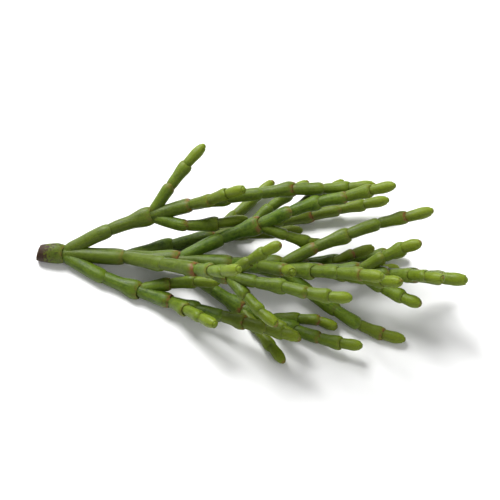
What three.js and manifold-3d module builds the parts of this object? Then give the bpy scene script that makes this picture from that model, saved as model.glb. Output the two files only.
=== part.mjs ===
// One cut sprig of samphire (glasswort), lying on a surface as it was picked. Millimetres, +Z up.
// The plant is leafless: every shoot is a chain of fleshy articles. Each article is waisted where it
// comes out of the cup of the one before it and ends in a cup of its own with two low lobes.
// Side shoots come out of the cups in opposite pairs, and each pair is a quarter turn on from the last.
// The main shoot runs from the cut end at -X to its tip at +X.
import * as THREE from "three";
import { mergeVertices } from "three/addons/utils/BufferGeometryUtils.js";
import Module from "manifold-3d";

// Driving dimensions, in mm and degrees
const STEM_RADIUS = 2.1;
const STEM_ARTICLE = 16; // a whole article at the foot of the stem
const CUT_STUB = 6; // what the knife left of that article
const STEM_ARTICLES = 11;
const ARTICLE_SHRINK = 0.885; // each article's length against the one below it
const RADIUS_SHRINK = 0.97;
const THINNEST_RADIUS = 1;
const TIP_STRETCH = 1.15; // the last article's length, against a plain one there
const LENGTH_SPREAD = 0.08; // most that an article is longer or shorter than its due, as a share
const STEM_RISE_DEG = 5; // the stem is propped up on its lower side shoots
const SPRIG_ROLL_DEG = 38; // how far the first pair of side shoots is turned out of the level
const STEM_TURN = new THREE.Vector3(1, -0.3, 0); // the way that the stem bends, a little more at each joint
const STEM_INWARD = 0.08; // share of that turn taken at each joint
const STEM_WOBBLE = 0.06;

// Side shoots
const FOOT_ANGLE_DEG = 22; // the first pair keeps close to the stem
const BRANCH_ANGLE_DEG = 37;
const BRANCH_ANGLE_SPREAD_DEG = 5;
const SECOND_ANGLE_LESS_DEG = 4; // a fork on a side shoot is this much narrower
const BRANCH_INWARD = 0.1; // share of the way back to its parent's heading that it turns at each joint
const BRANCH_WOBBLE = 0.1;
const BRANCH_SIZE = 0.8; // its first article against its parent's next one
const BRANCH_SIZE_SPREAD = 0.1;
const BRANCH_RADIUS = 0.86;
const BARE_STEM_TIP = 3; // articles at the stem's tip with no side shoots
const FIRST_FORK = 1; // joints of a side shoot that fork again
const LAST_FORK = 2;
const BARE_BRANCH_TIP = 5;
const FORK_CHANCE = 0.7;
const SIDE_REACH = 0.86; // a side shoot's articles against those of the stem above its fork
const SECOND_REACH = 0.5;
const SECOND_REACH_SPREAD = 0.8; // in articles
const ROOT_DEPTH = 0.1; // in radii of the parent, how far below the cup's rim a side shoot starts
const ROOT_ASIDE = 0.23; // from the parent's axis towards the side shoot's own side
const ROOT_LENGTH = 0.6; // in radii of the parent, the stretch that stays inside it

// How the shoots lie
const PRESS_DEPTH = 0.2; // how far the soft flesh flattens where it lies on the surface
const AXIS_HEIGHT = 1.13; // in radii, how high a joint's middle is where it rests on the unpressed flesh
const STEEPEST = 0.95; // rise of an article that has to climb off the surface, against its length
const SHOOT_GAP = 0.7; // clear space kept between neighbouring shoots
const FORK_ROOM = 8; // no space is kept this close to a shoot's own fork
const STEER_TRIES = 14;
const STEER_STEP = 0.09;
const SEED = 108;

// The article's outline: share of its length, and share of its radius
const ROOT_SIZE = 0.6;
const WAIST = 0.8;
const SHOULDER_AT = 0.28;
const SHOULDER = 0.95;
const BULGE_AT = 0.88;
const BULGE = 1.04;
const BULGE_SPREAD = 0.16; // how much more it swells below its two lobes
const RIM = 0.97;
const LOBE_HEIGHT = 0.42; // in radii
const LOBE_SPREAD = 0.08;
const SPREAD_AT_FORK = 0.22; // added to both where side shoots push the lobes apart
const TIP_OUTLINE = [
  [0.66, 1.02],
  [0.9, 0.74],
];
const CUT_SIZE = 0.88; // the cut end has dried and drawn in
const CUT_SLANT = 0.22; // in radii
const SIDES = [8, 7, 6]; // of the stem, of its side shoots, and of theirs

// A repeatable random stream, which gives numbers from -1 to 1
const MULTIPLIER = 16807;
const MODULUS = 2147483647;
const SHOOT_STRIDE = 7919;
const SEED_STRIDE = 104729;
const BRANCH_STREAM = { shoot: 31, joint: 4 }; // strides that give each side shoot a stream of its own
const FORK_STREAM = { shoot: 13, joint: 2 }; // and each draw of whether a side shoot forks there
function randomStream(number) {
  let state = (number * SHOOT_STRIDE + SEED * SEED_STRIDE) % MODULUS;
  return () => {
    state = (state * MULTIPLIER) % MODULUS;
    return (2 * state) / MODULUS - 1;
  };
}

const radians = THREE.MathUtils.degToRad;

// The unit vector nearest to side that is square to heading
function squareTo(heading, side) {
  return side.clone().addScaledVector(heading, -side.dot(heading)).normalize();
}

// Turns heading until the article that it gives lies clear of every shoot grown so far
const PROBES = [1 / 3, 2 / 3, 1];
function steerClear(start, heading, length, radius, fork, grown) {
  const turned = heading.clone();
  for (let i = 0; i < STEER_TRIES; i++) {
    let worst = 0;
    const away = new THREE.Vector3();
    for (const share of PROBES) {
      const probe = start.clone().addScaledVector(turned, share * length);
      if (probe.distanceTo(fork) < FORK_ROOM) continue;
      for (const other of grown) {
        const short = radius + other.radius + SHOOT_GAP - probe.distanceTo(other.at);
        if (short > worst) {
          worst = short;
          away.subVectors(probe, other.at).normalize();
        }
      }
    }
    if (worst === 0) break;
    turned.addScaledVector(away, STEER_STEP).normalize();
  }
  return turned;
}

// Keeps the end of an article off the surface that the sprig lies on
function stayAbove(start, heading, length, radius) {
  const lowest = radius * AXIS_HEIGHT - PRESS_DEPTH;
  const wanted = (lowest - start.z) / length;
  if (heading.z >= wanted) return heading;
  const rise = THREE.MathUtils.clamp(wanted, -STEEPEST, STEEPEST);
  const level = Math.hypot(heading.x, heading.y);
  const scale = Math.sqrt(1 - rise * rise) / level;
  return new THREE.Vector3(heading.x * scale, heading.y * scale, rise);
}

// Grows one shoot, article by article from the root to the tip
function growShoot(plan, grown) {
  const random = randomStream(plan.seed);
  const articles = [];
  let at = plan.start.clone();
  let heading = plan.heading.clone();
  let side = squareTo(heading, plan.side);
  let length = plan.length;
  let radius = plan.radius;
  for (let i = 0; i < plan.count; i++) {
    const sunk = i === 0 ? plan.sunk : 0;
    const last = i === plan.count - 1;
    const full = sunk + length * (last ? TIP_STRETCH : 1);
    heading.addScaledVector(side, plan.wobble * random());
    heading.addScaledVector(heading.clone().cross(side), plan.wobble * random());
    heading.normalize();
    if (i > 0) heading.lerp(plan.towards, plan.inward).normalize();
    heading = steerClear(at, heading, full, radius, plan.start, grown);
    heading = stayAbove(at, heading, full, radius);
    side = squareTo(heading, side);
    const end = at.clone().addScaledVector(heading, full);
    const from = at;
    articles.push({ from, to: end, heading: heading.clone(), side, full, sunk, radius, last, forks: false });
    at = end;
    length *= ARTICLE_SHRINK * (1 + LENGTH_SPREAD * random());
    radius = Math.max(THINNEST_RADIUS, radius * RADIUS_SHRINK);
  }
  for (const article of articles)
    for (const share of PROBES)
      grown.push({ at: article.from.clone().lerp(article.to, share), radius: article.radius });
  return { order: plan.order, seed: plan.seed, articles };
}

// The axis of the two lobes at the top of article i, a quarter turn on from those below it
function lobeAxis(shoot, i) {
  const { heading, side } = shoot.articles[i];
  return i % 2 === 0 ? side.clone() : heading.clone().cross(side);
}

// The plan of the side shoot at the top of article i, on one side of its parent
function planBranch(parent, i, sign, count, angle) {
  const below = parent.articles[i];
  const above = parent.articles[i + 1];
  const seed = parent.seed * BRANCH_STREAM.shoot + i * BRANCH_STREAM.joint + (sign > 0 ? 1 : 2);
  const random = randomStream(seed);
  const out = lobeAxis(parent, i).multiplyScalar(sign);
  const lean = radians(angle + BRANCH_ANGLE_SPREAD_DEG * random());
  const start = below.to.clone().addScaledVector(below.heading, -ROOT_DEPTH * below.radius);
  return {
    order: parent.order + 1,
    seed,
    start: start.addScaledVector(out, ROOT_ASIDE),
    heading: below.heading.clone().multiplyScalar(Math.cos(lean)).addScaledVector(out, Math.sin(lean)),
    side: below.heading.clone().cross(out),
    towards: below.heading.clone(),
    inward: BRANCH_INWARD,
    wobble: BRANCH_WOBBLE,
    sunk: below.radius * ROOT_LENGTH,
    length: above.full * BRANCH_SIZE * (1 + BRANCH_SIZE_SPREAD * random()),
    radius: Math.max(THINNEST_RADIUS, below.radius * BRANCH_RADIUS),
    count,
  };
}

// The plan of the stem. A sunk length below zero is the part of its first article that was cut away.
function planStem() {
  const rise = radians(STEM_RISE_DEG);
  const roll = radians(SPRIG_ROLL_DEG);
  return {
    order: 0,
    seed: 1,
    start: new THREE.Vector3(0, 0, STEM_RADIUS - PRESS_DEPTH),
    heading: new THREE.Vector3(Math.cos(rise), 0, Math.sin(rise)),
    side: new THREE.Vector3(0, Math.cos(roll), Math.sin(roll)),
    towards: STEM_TURN,
    inward: STEM_INWARD,
    wobble: STEM_WOBBLE,
    sunk: CUT_STUB - STEM_ARTICLE,
    length: STEM_ARTICLE,
    radius: STEM_RADIUS,
    count: STEM_ARTICLES,
  };
}

// Grows the whole sprig: the stem, the pairs on the stem, then the pairs on the lower side shoots
function growSprig() {
  const grown = [];
  const stem = growShoot(planStem(), grown);
  const shoots = [stem];
  const fork = (parent, i, sign, count, angle) => {
    parent.articles[i].forks = true;
    shoots.push(growShoot(planBranch(parent, i, sign, count, angle), grown));
  };
  for (let i = 0; i < STEM_ARTICLES - BARE_STEM_TIP; i++)
    for (const sign of [1, -1]) {
      const count = Math.round((STEM_ARTICLES - 1 - i) * SIDE_REACH);
      fork(stem, i, sign, count, i === 0 ? FOOT_ANGLE_DEG : BRANCH_ANGLE_DEG - i);
    }
  for (const parent of shoots.slice(1)) {
    const most = parent.articles.length;
    for (let i = FIRST_FORK; i <= Math.min(LAST_FORK, most - BARE_BRANCH_TIP); i++)
      for (const sign of [1, -1]) {
        const number = parent.seed * FORK_STREAM.shoot + i * FORK_STREAM.joint + (sign > 0 ? 1 : 0);
        const random = randomStream(number);
        const count = Math.round((most - 1 - i) * SECOND_REACH + SECOND_REACH_SPREAD * random());
        const grows = random() < 2 * FORK_CHANCE - 1;
        if (grows) fork(parent, i, sign, count, BRANCH_ANGLE_DEG - SECOND_ANGLE_LESS_DEG);
      }
  }
  return shoots;
}

// A ring of an article: share of its length, share of its radius, and what happens to it there
function ringAt(t, size, { spread = 0, lobe = 0, slant = 0 } = {}) {
  return { t, size, spread, lobe, slant };
}

// The rings of an article, from its root or its waist to the rim of its cup or its tip.
// The pair above the cut end leaves at too narrow an angle to push its lobes apart.
function ringsOf(article, isCutEnd) {
  const start = article.sunk / article.full;
  const along = (t) => start + (1 - start) * t;
  const apart = article.forks && !isCutEnd ? SPREAD_AT_FORK : 0;
  const rings = [];
  if (isCutEnd) rings.push(ringAt(0, CUT_SIZE, { slant: CUT_SLANT }));
  else {
    if (article.sunk > 0) rings.push(ringAt(0, ROOT_SIZE));
    rings.push(ringAt(along(0), WAIST), ringAt(along(SHOULDER_AT), SHOULDER));
  }
  if (article.last) {
    for (const [t, size] of TIP_OUTLINE) rings.push(ringAt(along(t), size));
  } else {
    rings.push(ringAt(along(BULGE_AT), BULGE, { spread: BULGE_SPREAD + apart }));
    rings.push(ringAt(1, RIM, { spread: LOBE_SPREAD + apart, lobe: LOBE_HEIGHT }));
  }
  return rings;
}

// The points of one ring, square to the curve through the joints, with its lobes at an angle from the side
function ringPoints(article, curve, lobeAngle, ring, sides) {
  const centre = curve.pointAt(ring.t);
  const tangent = curve.tangentAt(ring.t);
  const across = squareTo(tangent, article.side);
  const up = tangent.clone().cross(across);
  const points = [];
  for (let s = 0; s < sides; s++) {
    const angle = (2 * Math.PI * s) / sides;
    const facing = Math.cos(angle - lobeAngle) ** 2;
    const radius = article.radius * ring.size * (1 + ring.spread * facing);
    const lift = article.radius * (ring.lobe * facing * facing + ring.slant * Math.cos(angle));
    const point = centre.clone().addScaledVector(across, radius * Math.cos(angle));
    points.push(point.addScaledVector(up, radius * Math.sin(angle)).addScaledVector(tangent, lift));
  }
  return points;
}

// A smooth curve from p, leaving along m, to q, arriving along n
function hermite(p, m, q, n) {
  return {
    pointAt: (t) =>
      p
        .clone()
        .multiplyScalar(2 * t ** 3 - 3 * t ** 2 + 1)
        .addScaledVector(m, t ** 3 - 2 * t ** 2 + t)
        .addScaledVector(q, 3 * t ** 2 - 2 * t ** 3)
        .addScaledVector(n, t ** 3 - t ** 2),
    tangentAt: (t) =>
      p
        .clone()
        .multiplyScalar(6 * t ** 2 - 6 * t)
        .addScaledVector(m, 3 * t ** 2 - 4 * t + 1)
        .addScaledVector(q, 6 * t - 6 * t ** 2)
        .addScaledVector(n, 3 * t ** 2 - 2 * t)
        .normalize(),
  };
}

// The curve along article i, which meets those of its neighbours with no kink
function curveOf(shoot, i) {
  const { articles } = shoot;
  const article = articles[i];
  const before = articles[Math.max(0, i - 1)].heading;
  const after = articles[Math.min(articles.length - 1, i + 1)].heading;
  const leaving = before.clone().add(article.heading).setLength(article.full);
  const arriving = after.clone().add(article.heading).setLength(article.full);
  return hermite(article.from, leaving, article.to, arriving);
}

// A closed mesh round one shoot
function shootGeometry(shoot) {
  const sides = SIDES[shoot.order];
  const points = [];
  shoot.articles.forEach((article, i) => {
    const curve = curveOf(shoot, i);
    const isCutEnd = i === 0 && shoot.order === 0;
    const lobeAngle = i % 2 === 0 ? 0 : Math.PI / 2;
    for (const ring of ringsOf(article, isCutEnd))
      points.push(...ringPoints(article, curve, lobeAngle, ring, sides));
  });
  const rings = points.length / sides;
  const root = points.length;
  const tip = root + 1;
  points.push(shoot.articles[0].from, shoot.articles[shoot.articles.length - 1].to);
  const indices = [];
  for (let s = 0; s < sides; s++) {
    const next = (s + 1) % sides;
    indices.push(root, next, s);
    for (let r = 0; r < rings - 1; r++) {
      const a = r * sides + s;
      const b = r * sides + next;
      indices.push(a, b, b + sides, a, b + sides, a + sides);
    }
    const end = (rings - 1) * sides;
    indices.push(end + s, end + next, tip);
  }
  return new THREE.BufferGeometry().setFromPoints(points).setIndex(indices);
}

const wasm = await Module();
wasm.setup();

// A closed geometry as a solid that can be joined and cut
const MERGE_WITHIN = 1e-4;
function solidOf(geometry) {
  const bare = geometry.clone();
  bare.deleteAttribute("normal");
  bare.deleteAttribute("uv");
  const merged = mergeVertices(bare, MERGE_WITHIN);
  return new wasm.Manifold(
    new wasm.Mesh({
      numProp: 3,
      vertProperties: new Float32Array(merged.attributes.position.array),
      triVerts: new Uint32Array(merged.index.array),
    }),
  );
}

// A solid back as a geometry
function geometryOf(solid) {
  const mesh = solid.getMesh();
  const geometry = new THREE.BufferGeometry();
  geometry.setAttribute("position", new THREE.BufferAttribute(new Float32Array(mesh.vertProperties), 3));
  geometry.setIndex(new THREE.BufferAttribute(new Uint32Array(mesh.triVerts), 1));
  return geometry;
}

// A geometry moved so that its box is centred on the origin in plan
function centred(geometry) {
  geometry.computeBoundingBox();
  const middle = geometry.boundingBox.getCenter(new THREE.Vector3());
  return geometry.translate(-middle.x, -middle.y, 0);
}

// The outermost surface alone: a hollow sealed between two shoots is filled and a loose scrap is dropped
function outerBody(solid) {
  return solid.decompose().reduce((best, one) => (one.volume() > best.volume() ? one : best));
}

// The surface flattens the flesh that lies on it, which leaves a small flat spot at each low point
const SLAB = 300;
function flattenedBelow(solid) {
  return solid.subtract(solidOf(new THREE.BoxGeometry(SLAB, SLAB, SLAB).translate(0, 0, -SLAB / 2)));
}

function sprigGeometry() {
  const solids = growSprig().map((shoot) => solidOf(shootGeometry(shoot)));
  const joined = solids.reduce((all, one) => all.add(one));
  const pressed = outerBody(flattenedBelow(joined));
  return centred(geometryOf(outerBody(solidOf(geometryOf(pressed)))));
}

const flesh = new THREE.MeshStandardMaterial({ color: 0x5f7f24, roughness: 0.42, metalness: 0 });
const sprig = new THREE.Mesh(sprigGeometry(), flesh);
sprig.name = "samphire_sprig";

const part = new THREE.Group();
part.add(sprig);

export default part;
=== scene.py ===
import math
from types import SimpleNamespace

import bmesh
import bpy
import numpy as np
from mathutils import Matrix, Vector, noise


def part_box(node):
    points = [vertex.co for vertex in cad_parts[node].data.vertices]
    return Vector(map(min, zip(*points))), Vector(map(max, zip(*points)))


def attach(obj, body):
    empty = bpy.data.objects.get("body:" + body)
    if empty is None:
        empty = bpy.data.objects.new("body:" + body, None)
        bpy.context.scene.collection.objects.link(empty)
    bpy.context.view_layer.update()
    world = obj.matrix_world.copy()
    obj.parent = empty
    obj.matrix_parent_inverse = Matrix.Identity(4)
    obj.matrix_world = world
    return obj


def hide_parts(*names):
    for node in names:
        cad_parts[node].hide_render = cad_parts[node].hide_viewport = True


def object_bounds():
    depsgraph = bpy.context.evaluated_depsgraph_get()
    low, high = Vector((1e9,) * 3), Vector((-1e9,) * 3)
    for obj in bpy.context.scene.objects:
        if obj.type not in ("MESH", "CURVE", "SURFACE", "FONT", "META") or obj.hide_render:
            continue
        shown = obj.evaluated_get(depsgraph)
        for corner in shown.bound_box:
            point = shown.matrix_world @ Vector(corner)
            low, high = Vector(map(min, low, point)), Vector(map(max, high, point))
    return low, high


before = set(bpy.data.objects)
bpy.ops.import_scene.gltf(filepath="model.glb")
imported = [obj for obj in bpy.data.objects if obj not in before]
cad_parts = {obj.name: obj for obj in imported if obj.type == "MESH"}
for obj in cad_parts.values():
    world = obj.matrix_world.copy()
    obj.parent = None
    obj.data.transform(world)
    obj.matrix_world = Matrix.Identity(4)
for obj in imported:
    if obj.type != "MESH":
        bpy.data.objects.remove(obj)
cad_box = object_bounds()
NODE = "samphire_sprig"
MM = 0.001

# The stem, in mm and degrees
STEM_RADIUS = 2.1
STEM_ARTICLE = 16
CUT_STUB = 6
STEM_ARTICLES = 11
ARTICLE_SHRINK = 0.885
RADIUS_SHRINK = 0.97
THINNEST_RADIUS = 1
TIP_STRETCH = 1.15
LENGTH_SPREAD = 0.08
STEM_RISE_DEG = 5
SPRIG_ROLL_DEG = 38
STEM_TURN = np.array([1, -0.3, 0])
STEM_INWARD = 0.08
STEM_WOBBLE = 0.06

# The side shoots
FOOT_ANGLE_DEG = 22
BRANCH_ANGLE_DEG = 37
BRANCH_ANGLE_SPREAD_DEG = 5
SECOND_ANGLE_LESS_DEG = 4
BRANCH_INWARD = 0.1
BRANCH_WOBBLE = 0.1
BRANCH_SIZE = 0.8
BRANCH_SIZE_SPREAD = 0.1
BRANCH_RADIUS = 0.86
BARE_STEM_TIP = 3
FIRST_FORK = 1
LAST_FORK = 2
BARE_BRANCH_TIP = 5
FORK_CHANCE = 0.7
SIDE_REACH = 0.86
SECOND_REACH = 0.5
SECOND_REACH_SPREAD = 0.8
ROOT_DEPTH = 0.1
ROOT_ASIDE = 0.23
ROOT_LENGTH = 0.6

# How the shoots lie
PRESS_DEPTH = 0.2
AXIS_HEIGHT = 1.13
STEEPEST = 0.95
SHOOT_GAP = 0.7
FORK_ROOM = 8
STEER_TRIES = 14
STEER_STEP = 0.09
PROBES = (1 / 3, 2 / 3, 1)

# The repeatable random stream, which gives numbers from -1 to 1
SEED = 108
MULTIPLIER = 16807
MODULUS = 2147483647
SHOOT_STRIDE = 7919
SEED_STRIDE = 104729
BRANCH_STREAM = (31, 4)
FORK_STREAM = (13, 2)
LOOKS_STREAM = (97, 5, 3)

# The article's outline, as shares of its length and radius
ROOT_SIZE = 0.6
WAIST = 0.8
WAIST_FADE = 0.09
SHOULDER_AT = 0.28
SHOULDER = 0.95
BULGE_AT = 0.88
BULGE = 1.04
SPREAD_FROM = 0.45
BULGE_SPREAD = 0.16
RIM = 0.9
LOBE_FROM = 0.84
LOBE_HEIGHT = 0.42
LOBE_SPREAD = 0.03
SPREAD_AT_FORK = 0.22
# The cup's rim, over the edge and down inside: rise in radii, and shares of the rim's size and of its lobes
CUP_RIM = (
    (0.02, 0.985, 1),
    (0.025, 0.955, 0.98),
    (-0.01, 0.93, 0.85),
    (-0.07, 0.895, 0.4),
    (-0.1, 0.87, 0),
)
EDGE_PALE = 0.7
TIP_FULL_AT = 0.52
TIP_FULL = 1.02
BUD_AT = 0.88
BUD_SIZE = 0.72
BUD_LOBE_FROM = 0.72
BUD_LOBE = 0.14
BUD_RIM = ((0.04, 0.95, 1), (0.03, 0.88, 0.8), (-0.02, 0.8, 0.2))
BUD_PALE = 0.6
BUD_ROOT = 0.78
# The bud's dome, from its first ring to its last one, and how blunt it is, where 2 is round
BUD_DOME = (0.1, 0.97)
BUD_BLUNT = 2.2

# The cut end, as shares of its radius. The cut's slant fades out over a share of the stub's length
CUT_SLANT = 0.22
CUT_SLANT_REACH = 0.3
# The cut face, from its middle out: size, and how far it stands out or sinks in
CUT_FACE = ((0.14, -0.05), (0.3, -0.03), (0.38, 0.02), (0.62, 0.09), (0.8, 0.07), (0.93, 0.02))
# How far up the stub dries, in mm, and how it shrinks and wrinkles there
DRY_REACH = 2.4
DRY_SHRINK = 0.12
WRINKLES = 11
WRINKLE = 0.035

# How fine the mesh is: points round a ring and rings up an article, for the stem, side shoots and theirs
SIDES = (30, 24, 22)
STATIONS = (26, 19, 16)
TIP_STATIONS = 8
# A sharper bend than this shows as a crease, and an edge shorter than this, in mm, is a sliver
CREASE_DEG = 48
SLIVER = 0.002

# Relief of the skin, as shares of the radius, with the lumps' sizes in mm and the groove's in radians.
# The swelling starts at a share of the article's length
LUMP_SCALE = 2.6
LUMP = 0.035
FINE_LUMP_SCALE = 0.8
FINE_LUMP = 0.016
RIDGES = 7
RIDGE = 0.011
GROOVE = 0.05
GROOVE_WIDTH = 0.45
THICKNESS_SPREAD = 0.04
SWELL_FROM = 0.4
SWELL_SPREAD = 0.05
SWELL_ASIDE = 0.06
LOBE_HEIGHT_SPREAD = 0.3

# What the skin's colours follow, which the mesh carries at its points
MARKS = ("youth", "rim", "waist", "collar", "rust", "cut", "face", "tone", "fibre_x", "fibre_y", "fibre_z")

# Where those marks lie along an article, as shares of its length
WAIST_MARK_FADE = 0.07
COLLAR_FROM = 0.8
RUST_FROM = 0.86
RUST_ABOVE_FADE = 0.05
# How far the young colour reaches down from a tip, in articles
YOUTH_FADE = 1.5
# Where the cut face's pale core ends, as shares of the face's radius
CORE_EDGE = (0.3, 0.45)

# How rusty a joint is: usually, how far that varies, how rare strong rust is, and what a fork adds to it
USUAL_RUST = 0.2
RUST_SPREAD = 0.8
RUST_RARITY = 1.5
FORK_RUST = 0.3
# How rusty the root of a shoot is, as a share of the first joint above it
ROOT_RUST = 0.5

# The skin's colours
DEEP_GREEN = (0.021, 0.056, 0.003, 1)
MID_GREEN = (0.05, 0.1, 0.005, 1)
LIGHT_GREEN = (0.11, 0.17, 0.009, 1)
YOUNG_GREEN = (0.175, 0.23, 0.009, 1)
OLIVE = (0.085, 0.106, 0.007, 1)
# Painted shade: a darker green for the groove at each article's root, where it sits in the cup of the one
# below
PAINTED_WAIST_SHADE = (0.025, 0.045, 0.004, 1)
PALE_RIM = (0.26, 0.25, 0.07, 1)
RUST = (0.17, 0.075, 0.018, 1)
CUT_BROWN = (0.036, 0.017, 0.008, 1)
CUT_CORE = (0.14, 0.085, 0.04, 1)

# Its spots: their size in mm, the noise's detail, and the noise at which they start and are full
MOTTLE = (2.2, 3, 0.38, 0.62)
FLECKS = (0.7, 3, 0.42, 0.66)
SPECKS = (0.22, 1, 0.35, 0.65)
RUST_PATCHES = (0.9, 2, 0.36, 0.6)
CUT_PATCHES = (0.6, 3, 0.34, 0.66)
# Its streaks: how fine the noise is round a shoot and, for each mm, along it, and then as for the spots
STREAK_AROUND = 2.2
STREAK_ALONG = 0.12
STREAKS = (3, 0.36, 0.64)

# How strongly each colour shows where its mark or its pattern is full
STREAKED = 0.45
FLECKED = 0.4
TONED = 0.65
YOUNG = 0.85
COLLARED = 0.35
# The next strength is for the painted shade in the groove at each article's root
WAIST_SHADED = 0.4
RIMMED = 0.8
RUSTED = 1.3
CORED = 0.7
# What the colour is multiplied by between the specks and on them
SPECK_CONTRAST = (0.84, 1.12)

# The values of a mark from which a colour starts and at which it is full
TONE_RANGE = (-0.6, 0.8)
CUT_DULLS = (0.1, 0.5)
CUT_BROWNS = (0.45, 0.75)
# What the patches add to the cut's mark, so that the brown has a ragged edge
CUT_RAGGED = 0.5

# The flesh as a material, with lengths in mm
ROUGHNESS = (0.38, 0.46)
CUT_ROUGHER = 0.25
SCATTER = 0.22
SCATTER_COLOUR = (0.7, 1.0, 0.2)
SCATTER_REACH = 1.1
FLESH_IOR = 1.42
GLOSS = 0.28
BUMP = 0.6
BUMP_HEIGHT = 0.04

# The studio, in metres and degrees, with the sensor and the lens in mm
FLOOR_SIZE = 3
FLOOR_COLOUR = (0.88, 0.88, 0.88, 1)
FLOOR_ROUGHNESS = 0.7
FLOOR_GLOSS = 0.2
AMBIENT_COLOUR = (1, 1, 1, 1)
AMBIENT = 0.34
KEY_PLACE = (-0.45, 0.5, 0.75)
KEY_SIZE = 0.5
KEY_WATTS = 19
FILL_PLACE = (0.6, -0.6, 0.6)
FILL_SIZE = 0.8
FILL_WATTS = 3
CAMERA_ELEVATION_DEG = 56
CAMERA_TURN_DEG = 7.8
SENSOR = 36
LENS = 120
CLIP_START = 0.01
FRAME_WIDTH = 0.12
AIM_HEIGHT = 0.009


def random_stream(number):
    state = (number * SHOOT_STRIDE + SEED * SEED_STRIDE) % MODULUS

    def draw():
        nonlocal state
        state = state * MULTIPLIER % MODULUS
        return 2 * state / MODULUS - 1

    return draw


def unit(vector):
    return vector / np.linalg.norm(vector)


def square_to(heading, side):
    """The unit vector nearest to side that is square to heading."""
    return unit(side - side.dot(heading) * heading)


def nearest_whole(number):
    return math.floor(number + 0.5)


def steer_clear(start, heading, length, radius, fork, grown):
    """Turns heading until the article that it gives lies clear of every shoot grown so far."""
    if not grown:
        return heading
    places = np.array([place for place, _ in grown])
    radii = np.array([thick for _, thick in grown])
    for _ in range(STEER_TRIES):
        worst = 0
        away = None
        for share in PROBES:
            probe = start + share * length * heading
            if np.linalg.norm(probe - fork) < FORK_ROOM:
                continue
            apart = probe - places
            short = radius + radii + SHOOT_GAP - np.linalg.norm(apart, axis=1)
            closest = int(np.argmax(short))
            if short[closest] > worst:
                worst = short[closest]
                away = unit(apart[closest])
        if away is None:
            break
        heading = unit(heading + STEER_STEP * away)
    return heading


def stay_above(start, heading, length, radius):
    """Keeps the end of an article off the surface that the sprig lies on."""
    wanted = (radius * AXIS_HEIGHT - PRESS_DEPTH - start[2]) / length
    if heading[2] >= wanted:
        return heading
    rise = min(max(wanted, -STEEPEST), STEEPEST)
    scale = math.sqrt(1 - rise * rise) / math.hypot(heading[0], heading[1])
    return np.array([heading[0] * scale, heading[1] * scale, rise])


def grow_shoot(plan, grown):
    """Grows one shoot, article by article from the root to the tip."""
    random = random_stream(plan.seed)
    articles = []
    at = plan.start
    heading = plan.heading
    side = square_to(heading, plan.side)
    length = plan.length
    radius = plan.radius
    for i in range(plan.count):
        sunk = plan.sunk if i == 0 else 0
        last = i == plan.count - 1
        full = sunk + length * (TIP_STRETCH if last else 1)
        heading = heading + side * (plan.wobble * random())
        heading = unit(heading + np.cross(heading, side) * (plan.wobble * random()))
        if i > 0:
            heading = unit(heading + (plan.towards - heading) * plan.inward)
        heading = steer_clear(at, heading, full, radius, plan.start, grown)
        heading = stay_above(at, heading, full, radius)
        side = square_to(heading, side)
        end = at + full * heading
        article = SimpleNamespace(start=at, end=end, heading=heading, side=side, full=full)
        article.sunk = sunk
        article.radius = radius
        article.last = last
        article.forks = False
        articles.append(article)
        at = end
        length *= ARTICLE_SHRINK * (1 + LENGTH_SPREAD * random())
        radius = max(THINNEST_RADIUS, radius * RADIUS_SHRINK)
    for article in articles:
        for share in PROBES:
            grown.append((article.start + share * (article.end - article.start), article.radius))
    return SimpleNamespace(order=plan.order, seed=plan.seed, articles=articles)


def lobe_axis(shoot, i):
    """The axis of the two lobes at the top of article i, a quarter turn on from those below it."""
    article = shoot.articles[i]
    return article.side if i % 2 == 0 else np.cross(article.heading, article.side)


def plan_branch(parent, i, sign, count, angle):
    """The plan of the side shoot at the top of article i, on one side of its parent."""
    below = parent.articles[i]
    above = parent.articles[i + 1]
    seed = parent.seed * BRANCH_STREAM[0] + i * BRANCH_STREAM[1] + (1 if sign > 0 else 2)
    random = random_stream(seed)
    out = sign * lobe_axis(parent, i)
    lean = math.radians(angle + BRANCH_ANGLE_SPREAD_DEG * random())
    start = below.end - ROOT_DEPTH * below.radius * below.heading + ROOT_ASIDE * out
    plan = SimpleNamespace(order=parent.order + 1, seed=seed, start=start, count=count)
    plan.heading = math.cos(lean) * below.heading + math.sin(lean) * out
    plan.side = np.cross(below.heading, out)
    plan.towards = below.heading
    plan.inward = BRANCH_INWARD
    plan.wobble = BRANCH_WOBBLE
    plan.sunk = below.radius * ROOT_LENGTH
    plan.length = above.full * BRANCH_SIZE * (1 + BRANCH_SIZE_SPREAD * random())
    plan.radius = max(THINNEST_RADIUS, below.radius * BRANCH_RADIUS)
    return plan


def plan_stem():
    """The plan of the stem. A sunk length below zero is the part of its first article that was cut away."""
    rise = math.radians(STEM_RISE_DEG)
    roll = math.radians(SPRIG_ROLL_DEG)
    plan = SimpleNamespace(order=0, seed=1, count=STEM_ARTICLES)
    plan.start = np.array([0, 0, STEM_RADIUS - PRESS_DEPTH])
    plan.heading = np.array([math.cos(rise), 0, math.sin(rise)])
    plan.side = np.array([0, math.cos(roll), math.sin(roll)])
    plan.towards = STEM_TURN
    plan.inward = STEM_INWARD
    plan.wobble = STEM_WOBBLE
    plan.sunk = CUT_STUB - STEM_ARTICLE
    plan.length = STEM_ARTICLE
    plan.radius = STEM_RADIUS
    return plan


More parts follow.
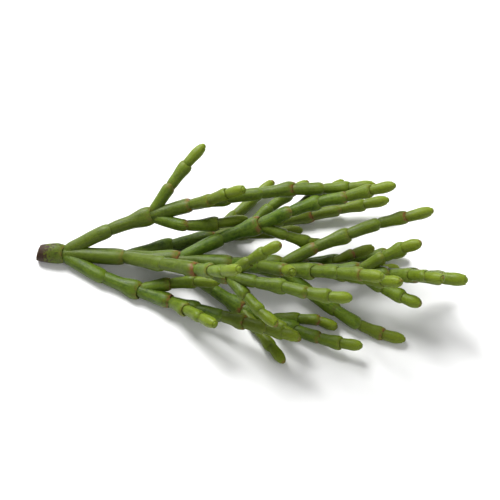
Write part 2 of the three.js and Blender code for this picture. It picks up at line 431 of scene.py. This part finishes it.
def grow_sprig():
    """Grows the whole sprig: the stem, the pairs on the stem, then the pairs on the lower side shoots."""
    grown = []
    stem = grow_shoot(plan_stem(), grown)
    shoots = [stem]

    def fork(parent, i, sign, count, angle):
        parent.articles[i].forks = True
        shoots.append(grow_shoot(plan_branch(parent, i, sign, count, angle), grown))

    for i in range(STEM_ARTICLES - BARE_STEM_TIP):
        for sign in (1, -1):
            count = nearest_whole((STEM_ARTICLES - 1 - i) * SIDE_REACH)
            fork(stem, i, sign, count, FOOT_ANGLE_DEG if i == 0 else BRANCH_ANGLE_DEG - i)
    for parent in shoots[1:]:
        most = len(parent.articles)
        for i in range(FIRST_FORK, min(LAST_FORK, most - BARE_BRANCH_TIP) + 1):
            for sign in (1, -1):
                number = parent.seed * FORK_STREAM[0] + i * FORK_STREAM[1] + (1 if sign > 0 else 0)
                random = random_stream(number)
                count = nearest_whole((most - 1 - i) * SECOND_REACH + SECOND_REACH_SPREAD * random())
                if random() < 2 * FORK_CHANCE - 1:
                    fork(parent, i, sign, count, BRANCH_ANGLE_DEG - SECOND_ANGLE_LESS_DEG)
    return shoots


def smooth(low, high, value):
    """Rises smoothly from 0 at low to 1 at high."""
    share = np.clip((value - low) / (high - low), 0, 1)
    return share * share * (3 - 2 * share)


def spaced(first, last, count):
    """Numbers from first to last, closer together at both ends."""
    return first + (last - first) * (0.5 - 0.5 * np.cos(np.pi * np.linspace(0, 1, count)))


def station(t, size, rise=0.0, spread=0.0, lobe=0.0, slant=0.0, rim=0.0, face=0.0, dry=0.0):
    """One ring of an article: share of its length, of its radius, and what happens to it there."""
    return SimpleNamespace(
        t=t, size=size, rise=rise, spread=spread, lobe=lobe, slant=slant, rim=rim, face=face, dry=dry
    )


def stalk(t):
    """The article's radius from its waist to its shoulder."""
    return SHOULDER - (SHOULDER - WAIST) * math.exp(-max(t, 0) / WAIST_FADE)


def wall_station(t, at, apart):
    """A ring on the outside of an article that ends in a cup. t is its share of the whole article."""
    turned_in = (max(t - BULGE_AT, 0) / (1 - BULGE_AT)) ** 2
    size = stalk(t) + (BULGE - SHOULDER) * smooth(SHOULDER_AT, BULGE_AT, t)
    size -= (BULGE - RIM) * turned_in
    spread = (BULGE_SPREAD + apart) * smooth(SPREAD_FROM, BULGE_AT, t)
    spread -= (BULGE_SPREAD - LOBE_SPREAD) * turned_in
    return station(at, size, spread=spread, lobe=LOBE_HEIGHT * smooth(LOBE_FROM, 1, t))


def tip_station(t, at):
    """A ring on the outside of the last article, below its bud."""
    turned_in = (max(t - TIP_FULL_AT, 0) / (BUD_AT - TIP_FULL_AT)) ** 2
    size = stalk(t) + (TIP_FULL - SHOULDER) * smooth(SHOULDER_AT, TIP_FULL_AT, t)
    size -= (TIP_FULL - BUD_SIZE) * turned_in
    return station(at, size, lobe=BUD_LOBE * smooth(BUD_LOBE_FROM, BUD_AT, t))


def cut_face():
    """The rings of the cut face, from its middle to its rounded edge."""
    return [station(0, size, rise=sunk, slant=CUT_SLANT * size, face=1, dry=1) for size, sunk in CUT_FACE]


def cut_end_stations(article, first, count):
    """The rings of the stub above the knife's cut: its face, and its wall as it dries towards the cut."""
    rings = cut_face()
    for t in spaced(-first / (1 - first), 1, count):
        ring = wall_station(t, first + (1 - first) * t, 0)
        ring.dry = math.exp(-ring.t * article.full / DRY_REACH)
        ring.slant = CUT_SLANT * (1 - smooth(0, CUT_SLANT_REACH, ring.t))
        rings.append(ring)
    return rings


def bud_stations(along):
    """The rings at a tip: the edge of the last two lobes, and the dome of the bud between them."""
    rings = []
    for rise, size, lobe in BUD_RIM:
        rings.append(station(along(BUD_AT), BUD_SIZE * size, rise=rise, lobe=BUD_LOBE * lobe, rim=BUD_PALE))
    for share in np.linspace(*BUD_DOME, TIP_STATIONS):
        height = along(BUD_AT + (1 - BUD_AT) * share)
        rings.append(station(height, BUD_SIZE * BUD_ROOT * math.sqrt(1 - share**BUD_BLUNT)))
    return rings


def cup_stations(edge):
    """The rings over a cup's edge and down inside it. edge is the last ring of its wall."""
    rings = []
    for rise, size, lobe in CUP_RIM:
        ring = station(1, RIM * size, rise=rise, spread=edge.spread * lobe, lobe=LOBE_HEIGHT * lobe)
        ring.rim = lobe
        rings.append(ring)
    return rings


def is_cut_end(article):
    """Whether the knife went through this article, so that its root is gone."""
    return article.sunk < 0


def article_stations(article, order):
    """All the rings of an article, from its root to the bottom of its cup or to its tip."""
    first = article.sunk / article.full
    count = STATIONS[order]

    def along(t):
        return first + (1 - first) * t

    root = [station(0, ROOT_SIZE)] if article.sunk > 0 else []
    if article.last:
        wall = [tip_station(t, along(t)) for t in spaced(0, BUD_AT, count)]
        return root + wall + bud_stations(along)
    if is_cut_end(article):
        wall = cut_end_stations(article, first, count)
    else:
        apart = SPREAD_AT_FORK if article.forks else 0
        wall = [wall_station(t, along(t), apart) for t in spaced(0, 1, count)]
    wall[-1].rim = EDGE_PALE
    return root + wall + cup_stations(wall[-1])


def curve_of(shoot, i):
    """The places and directions along article i, which meets its neighbours with no kink."""
    articles = shoot.articles
    article = articles[i]
    before = articles[max(0, i - 1)].heading
    after = articles[min(len(articles) - 1, i + 1)].heading
    p = article.start
    m = unit(before + article.heading) * article.full
    q = article.end
    n = unit(after + article.heading) * article.full

    def at(t):
        place = (2 * t**3 - 3 * t**2 + 1) * p + (t**3 - 2 * t**2 + t) * m
        place = place + (3 * t**2 - 2 * t**3) * q + (t**3 - t**2) * n
        slope = (6 * t**2 - 6 * t) * p + (3 * t**2 - 4 * t + 1) * m
        slope = slope + (6 * t - 6 * t**2) * q + (3 * t**2 - 2 * t) * n
        return place, unit(slope)

    return at


def lumps(point):
    """Soft unevenness of the skin at a place, as a share of the radius."""
    coarse = noise.noise(Vector(point / LUMP_SCALE))
    fine = noise.noise(Vector(point / FINE_LUMP_SCALE))
    return LUMP * coarse + FINE_LUMP * fine


def relief(ring, angles, looks):
    """What the radius is multiplied by, all round a ring, for its swelling, ridges, groove and wrinkles."""
    body = math.sin(math.pi * min(max(ring.t, 0), 1)) * (1 - ring.rim)
    turned = np.abs((angles - looks.groove_at + np.pi) % (2 * np.pi) - np.pi)
    groove = GROOVE * looks.groove * np.exp(-((turned / GROOVE_WIDTH) ** 2))
    ridges = RIDGE * np.cos(RIDGES * angles + looks.phase)
    wrinkles = ring.dry * (WRINKLE * np.cos(WRINKLES * angles + looks.phase) - DRY_SHRINK)
    swell = looks.swell + SWELL_ASIDE * np.cos(angles - looks.swell_at)
    swell = swell * smooth(SWELL_FROM, BULGE_AT, ring.t) * (1 - ring.dry)
    return 1 + looks.thick + swell + body * (ridges - groove) + wrinkles


def ring_points(article, at, lobe_angle, ring, sides, looks):
    """The points of one ring, square to the curve through the joints."""
    centre, tangent = at(ring.t)
    across = square_to(tangent, article.side)
    up = np.cross(tangent, across)
    angles = 2 * np.pi * np.arange(sides) / sides
    facing = np.cos(angles - lobe_angle) ** 2
    thick = article.radius * ring.size * (1 + ring.spread * facing) * relief(ring, angles, looks)
    lobes = ring.lobe * looks.lobe * facing * facing
    lift = article.radius * (ring.rise + lobes + ring.slant * np.cos(angles))
    outward = np.outer(np.cos(angles), across) + np.outer(np.sin(angles), up)
    base = centre + lift[:, None] * tangent
    points = base + thick[:, None] * outward
    bulge = np.array([lumps(point) for point in points])
    return base + (thick * (1 + bulge))[:, None] * outward, angles


def article_looks(shoot, i):
    """What sets one article apart from the next: thickness, groove, swelling, tone and rust."""
    by_shoot, by_article, offset = LOOKS_STREAM
    random = random_stream(shoot.seed * by_shoot + i * by_article + offset)
    looks = SimpleNamespace()
    looks.thick = THICKNESS_SPREAD * random()
    looks.groove = max(0, random())
    looks.groove_at = math.pi * random()
    looks.phase = math.pi * random()
    looks.tone = (random() + random_stream(shoot.seed)()) / 2
    looks.rust = max(0, USUAL_RUST + RUST_SPREAD * random()) ** RUST_RARITY
    looks.pale = 0.5 + 0.5 * random()
    looks.swell = SWELL_SPREAD * random()
    looks.swell_at = math.pi * random()
    looks.lobe = 1 + LOBE_HEIGHT_SPREAD * random()
    return looks


def ring_marks(article, ring, looks, rust_below, to_tip):
    """How strongly each mark shows at a ring. to_tip counts the articles from this one's root to the tip."""
    first = max(article.sunk, 0) / article.full
    along = (ring.t - first) / (1 - first)
    above_joint = max(along, 0)
    rust = (looks.rust + (FORK_RUST if article.forks else 0)) * smooth(RUST_FROM, 1, along)
    rust += rust_below * math.exp(-above_joint / RUST_ABOVE_FADE)
    return {
        "youth": math.exp(-max(to_tip - along, 0) / YOUTH_FADE),
        "rim": ring.rim * looks.pale,
        # The waist mark places painted shade in the groove at the article's root
        "waist": 0 if is_cut_end(article) else math.exp(-above_joint / WAIST_MARK_FADE),
        "collar": smooth(COLLAR_FROM, 1, along),
        "rust": rust,
        "cut": ring.dry,
        "face": ring.face * (1 - smooth(*CORE_EDGE, ring.size)),
        "tone": looks.tone,
    }


def shoot_arrays(shoot, sides):
    """The points and the marks of every ring of one shoot, from its root to its tip."""
    points = []
    marks = {name: [] for name in MARKS}
    count = len(shoot.articles)
    travelled = 0
    for i, article in enumerate(shoot.articles):
        at = curve_of(shoot, i)
        looks = article_looks(shoot, i)
        lobe_angle = 0 if i % 2 == 0 else math.pi / 2
        rust_below = article_looks(shoot, i - 1).rust if i > 0 else ROOT_RUST * looks.rust
        for ring in article_stations(article, shoot.order):
            ring_at, angles = ring_points(article, at, lobe_angle, ring, sides, looks)
            points.append(ring_at)
            level = ring_marks(article, ring, looks, rust_below, count - i)
            level["fibre_x"] = np.cos(angles)
            level["fibre_y"] = np.sin(angles)
            level["fibre_z"] = travelled + ring.t * article.full
            for name, value in level.items():
                marks[name].append(np.broadcast_to(value, sides))
        travelled += article.full
    return points, marks


def skin_faces(sides, count):
    """The faces between count rings, and a fan at each end. The fans' middle points come after the rings."""
    root = count * sides
    top = root - sides
    faces = []
    for s in range(sides):
        after = (s + 1) % sides
        faces.append((root, after, s))
        for low in range(0, top, sides):
            high = low + sides
            faces.append((low + s, low + after, high + after, high + s))
        faces.append((top + s, top + after, root + 1))
    return faces


def shoot_object(shoot, name):
    """One shoot as a closed mesh, with its marks as attributes of its points."""
    sides = SIDES[shoot.order]
    rings, marks = shoot_arrays(shoot, sides)
    root = rings[0].mean(axis=0)
    tip, _ = curve_of(shoot, len(shoot.articles) - 1)(1)
    points = np.concatenate([*rings, [root], [tip]])
    mesh = bpy.data.meshes.new(name)
    mesh.from_pydata(points.tolist(), [], skin_faces(sides, len(rings)))
    for mark in MARKS:
        values = np.concatenate(marks[mark])
        ends = [values[:sides].mean(), values[-sides:].mean()]
        attribute = mesh.attributes.new(mark, "FLOAT", "POINT")
        attribute.data.foreach_set("value", np.concatenate([values, ends]).astype(np.float32))
    piece = bpy.data.objects.new(name, mesh)
    bpy.context.scene.collection.objects.link(piece)
    return piece


def joined(pieces, name):
    """All the shoots as one skin."""
    first, *others = pieces
    bunch = bpy.data.collections.new("shoots_to_join")
    bpy.context.scene.collection.children.link(bunch)
    for piece in others:
        bunch.objects.link(piece)
        bpy.context.scene.collection.objects.unlink(piece)
    join = first.modifiers.new("join", "BOOLEAN")
    join.operation = "UNION"
    join.operand_type = "COLLECTION"
    join.collection = bunch
    join.solver = "MANIFOLD"
    bpy.context.view_layer.objects.active = first
    bpy.ops.object.modifier_apply(modifier=join.name)
    for piece in others:
        bpy.data.objects.remove(piece, do_unlink=True)
    bpy.data.collections.remove(bunch)
    first.name = name
    return first


def swept(mesh):
    """Takes away the slivers that are left where shoots were joined."""
    work = bmesh.new()
    work.from_mesh(mesh)
    bmesh.ops.triangulate(work, faces=work.faces)
    bmesh.ops.dissolve_degenerate(work, dist=SLIVER, edges=work.edges)
    work.to_mesh(mesh)
    work.free()


def put_in_place(piece, node):
    """Flattens what lies on the surface, goes to metres, and centres the piece on the node's box."""
    mesh = piece.data
    places = np.empty(len(mesh.vertices) * 3, dtype=np.float32)
    mesh.vertices.foreach_get("co", places)
    places = places.reshape(-1, 3)
    places[:, 2] = np.maximum(places[:, 2], 0)
    places *= MM
    low, high = (np.array(corner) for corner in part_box(node))
    middle = (places.min(axis=0) + places.max(axis=0)) / 2
    places[:, :2] += ((low + high) / 2 - middle)[:2]
    mesh.vertices.foreach_set("co", places.ravel())
    mesh.update()


def make_sprig():
    shoots = grow_sprig()
    pieces = [shoot_object(shoot, f"shoot_{i:02d}") for i, shoot in enumerate(shoots)]
    sprig = joined(pieces, "samphire_skin")
    swept(sprig.data)
    put_in_place(sprig, NODE)
    mesh = sprig.data
    mesh.polygons.foreach_set("use_smooth", np.ones(len(mesh.polygons), dtype=bool))
    mesh.set_sharp_from_angle(angle=math.radians(CREASE_DEG))
    return sprig


class Skin:
    """A material's nodes, with a short call for each kind that the skin needs."""

    def __init__(self, name):
        self.material = bpy.data.materials.new(name)
        self.material.use_nodes = True
        self.tree = self.material.node_tree
        self.shader = self.tree.nodes["Principled BSDF"]
        self.place = self.node("ShaderNodeTexCoord").outputs["Object"]

    def node(self, kind, inputs=None, **settings):
        made = self.tree.nodes.new(kind)
        for setting, value in settings.items():
            setattr(made, setting, value)
        for key, value in (inputs or {}).items():
            self.feed(made.inputs[key], value)
        return made

    def feed(self, socket, value):
        if isinstance(value, bpy.types.NodeSocket):
            self.tree.links.new(value, socket)
        else:
            socket.default_value = value

    def mark(self, name):
        return self.node("ShaderNodeAttribute", attribute_name=name).outputs["Fac"]

    def calc(self, operation, first, second, clamp=False):
        made = self.node("ShaderNodeMath", {0: first, 1: second}, operation=operation, use_clamp=clamp)
        return made.outputs[0]

    def ramp(self, value, low, high, start=0.0, end=1.0):
        """Goes smoothly from start to end while value goes from low to high."""
        inputs = {"Value": value, "From Min": low, "From Max": high, "To Min": start, "To Max": end}
        made = self.node("ShaderNodeMapRange", inputs, interpolation_type="SMOOTHSTEP")
        return made.outputs["Result"]

    def pattern(self, place, scale, detail, low, high):
        """Where the noise is above high it gives 1, and where it is below low it gives 0."""
        made = self.node("ShaderNodeTexNoise", {"Vector": place, "Scale": scale, "Detail": detail})
        return self.ramp(made.outputs["Fac"], low, high)

    def grain(self, size_mm, detail, low, high):
        """A pattern of spots that are about size_mm across."""
        return self.pattern(self.place, 1 / (size_mm * MM), detail, low, high)

    def blend(self, share, first, second, how="MIX"):
        made = self.tree.nodes.new("ShaderNodeMix")
        made.data_type = "RGBA"
        made.blend_type = how
        colours = [socket for socket in made.inputs if socket.type == "RGBA"]
        self.feed(made.inputs["Factor"], share)
        self.feed(colours[0], first)
        self.feed(colours[1], second)
        return next(socket for socket in made.outputs if socket.type == "RGBA")

    def tint(self, colour, pattern, strength, tinted):
        """The colour tinted by this strength where the pattern is 1, and left alone where it is 0."""
        return self.blend(self.calc("MULTIPLY", pattern, strength, clamp=True), colour, tinted)


def fibre_streaks(skin):
    """Streaks that run along a shoot, however it bends."""
    scales = {"x": STREAK_AROUND, "y": STREAK_AROUND, "z": STREAK_ALONG}
    parts = {}
    for axis, scale in scales.items():
        parts[axis.upper()] = skin.calc("MULTIPLY", skin.mark(f"fibre_{axis}"), scale)
    place = skin.node("ShaderNodeCombineXYZ", parts).outputs[0]
    return skin.pattern(place, 1, *STREAKS)


def flesh_colour(skin, mottle, streaks, specks):
    """Green flesh, younger and yellower at the tips, with marked joints, painted shade in the groove at each
    article's root, and a dry cut end.
    """
    colour = skin.blend(mottle, DEEP_GREEN, MID_GREEN)
    colour = skin.tint(colour, streaks, STREAKED, LIGHT_GREEN)
    colour = skin.tint(colour, skin.grain(*FLECKS), FLECKED, LIGHT_GREEN)
    colour = skin.tint(colour, skin.ramp(skin.mark("tone"), *TONE_RANGE), TONED, OLIVE)
    colour = skin.tint(colour, skin.mark("youth"), YOUNG, YOUNG_GREEN)
    colour = skin.tint(colour, skin.mark("collar"), COLLARED, LIGHT_GREEN)
    # Painted shade: darker green in the groove at each article's root, under the rim of the cup below
    colour = skin.tint(colour, skin.mark("waist"), WAIST_SHADED, PAINTED_WAIST_SHADE)
    colour = skin.tint(colour, skin.mark("rim"), RIMMED, PALE_RIM)
    patchy = skin.calc("MULTIPLY", skin.mark("rust"), skin.grain(*RUST_PATCHES))
    colour = skin.tint(colour, patchy, RUSTED, RUST)
    colour = skin.blend(skin.ramp(skin.mark("cut"), *CUT_DULLS), colour, OLIVE)
    patches = skin.calc("MULTIPLY", skin.grain(*CUT_PATCHES), CUT_RAGGED)
    browned = skin.ramp(skin.calc("ADD", skin.mark("cut"), patches), *CUT_BROWNS)
    colour = skin.blend(browned, colour, CUT_BROWN)
    colour = skin.tint(colour, skin.mark("face"), CORED, CUT_CORE)
    dim = skin.ramp(specks, 0, 1, *SPECK_CONTRAST)
    grey = skin.node("ShaderNodeCombineColor", {0: dim, 1: dim, 2: dim}).outputs[0]
    return skin.blend(1.0, colour, grey, "MULTIPLY")


def flesh_skin():
    skin = Skin("samphire_flesh")
    shader = skin.shader
    mottle = skin.grain(*MOTTLE)
    streaks = fibre_streaks(skin)
    specks = skin.grain(*SPECKS)
    skin.feed(shader.inputs["Base Color"], flesh_colour(skin, mottle, streaks, specks))
    rougher = skin.calc("MULTIPLY", skin.mark("cut"), CUT_ROUGHER)
    rough = skin.calc("ADD", skin.ramp(mottle, 0, 1, *ROUGHNESS), rougher)
    skin.feed(shader.inputs["Roughness"], rough)
    shader.inputs["Subsurface Weight"].default_value = SCATTER
    shader.inputs["Subsurface Radius"].default_value = SCATTER_COLOUR
    shader.inputs["Subsurface Scale"].default_value = SCATTER_REACH * MM
    shader.inputs["IOR"].default_value = FLESH_IOR
    shader.inputs["Specular IOR Level"].default_value = GLOSS
    height = skin.calc("ADD", specks, streaks)
    bump = skin.node("ShaderNodeBump", {"Height": height, "Strength": BUMP, "Distance": BUMP_HEIGHT * MM})
    skin.feed(shader.inputs["Normal"], bump.outputs["Normal"])
    return skin.material


def make_floor():
    bpy.ops.mesh.primitive_plane_add(size=FLOOR_SIZE)
    floor = bpy.context.object
    floor.name = "floor"
    material = bpy.data.materials.new("floor_white")
    material.use_nodes = True
    shader = material.node_tree.nodes["Principled BSDF"]
    shader.inputs["Base Color"].default_value = FLOOR_COLOUR
    shader.inputs["Roughness"].default_value = FLOOR_ROUGHNESS
    shader.inputs["Specular IOR Level"].default_value = FLOOR_GLOSS
    floor.data.materials.append(material)


def aimed(made, place, target):
    """Puts a light or the camera at place, looking at target."""
    made.location = place
    made.rotation_euler = (Vector(target) - Vector(place)).to_track_quat("-Z", "Y").to_euler()


def make_light(name, place, target, size, watts):
    data = bpy.data.lights.new(name, "AREA")
    data.size = size
    data.energy = watts
    light = bpy.data.objects.new(name, data)
    bpy.context.scene.collection.objects.link(light)
    aimed(light, place, target)


def light_scene(middle):
    world = bpy.data.worlds.new("studio")
    bpy.context.scene.world = world
    world.use_nodes = True
    background = world.node_tree.nodes["Background"]
    background.inputs["Color"].default_value = AMBIENT_COLOUR
    background.inputs["Strength"].default_value = AMBIENT
    make_light("key", KEY_PLACE, middle, KEY_SIZE, KEY_WATTS)
    make_light("fill", FILL_PLACE, middle, FILL_SIZE, FILL_WATTS)
    settings = bpy.context.scene.view_settings
    settings.view_transform = "Standard"
    settings.look = "None"


def make_camera(middle):
    elevation = math.radians(CAMERA_ELEVATION_DEG)
    turn = math.radians(CAMERA_TURN_DEG)
    level = math.cos(elevation)
    away = Vector((level * math.sin(turn), -level * math.cos(turn), math.sin(elevation)))
    data = bpy.data.cameras.new("camera")
    data.sensor_width = SENSOR
    data.lens = LENS
    data.clip_start = CLIP_START
    camera = bpy.data.objects.new("camera", data)
    bpy.context.scene.collection.objects.link(camera)
    distance = FRAME_WIDTH * LENS / SENSOR
    aimed(camera, Vector(middle) + distance * away, middle)
    bpy.context.scene.camera = camera


sprig = make_sprig()
# The join leaves an empty slot
sprig.data.materials.clear()
sprig.data.materials.append(flesh_skin())
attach(sprig, "root")
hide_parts(NODE)

make_floor()
low, high = cad_box
middle = [(a + b) / 2 for a, b in zip(low, high)]
light_scene(middle)
make_camera([middle[0], middle[1], AIM_HEIGHT])
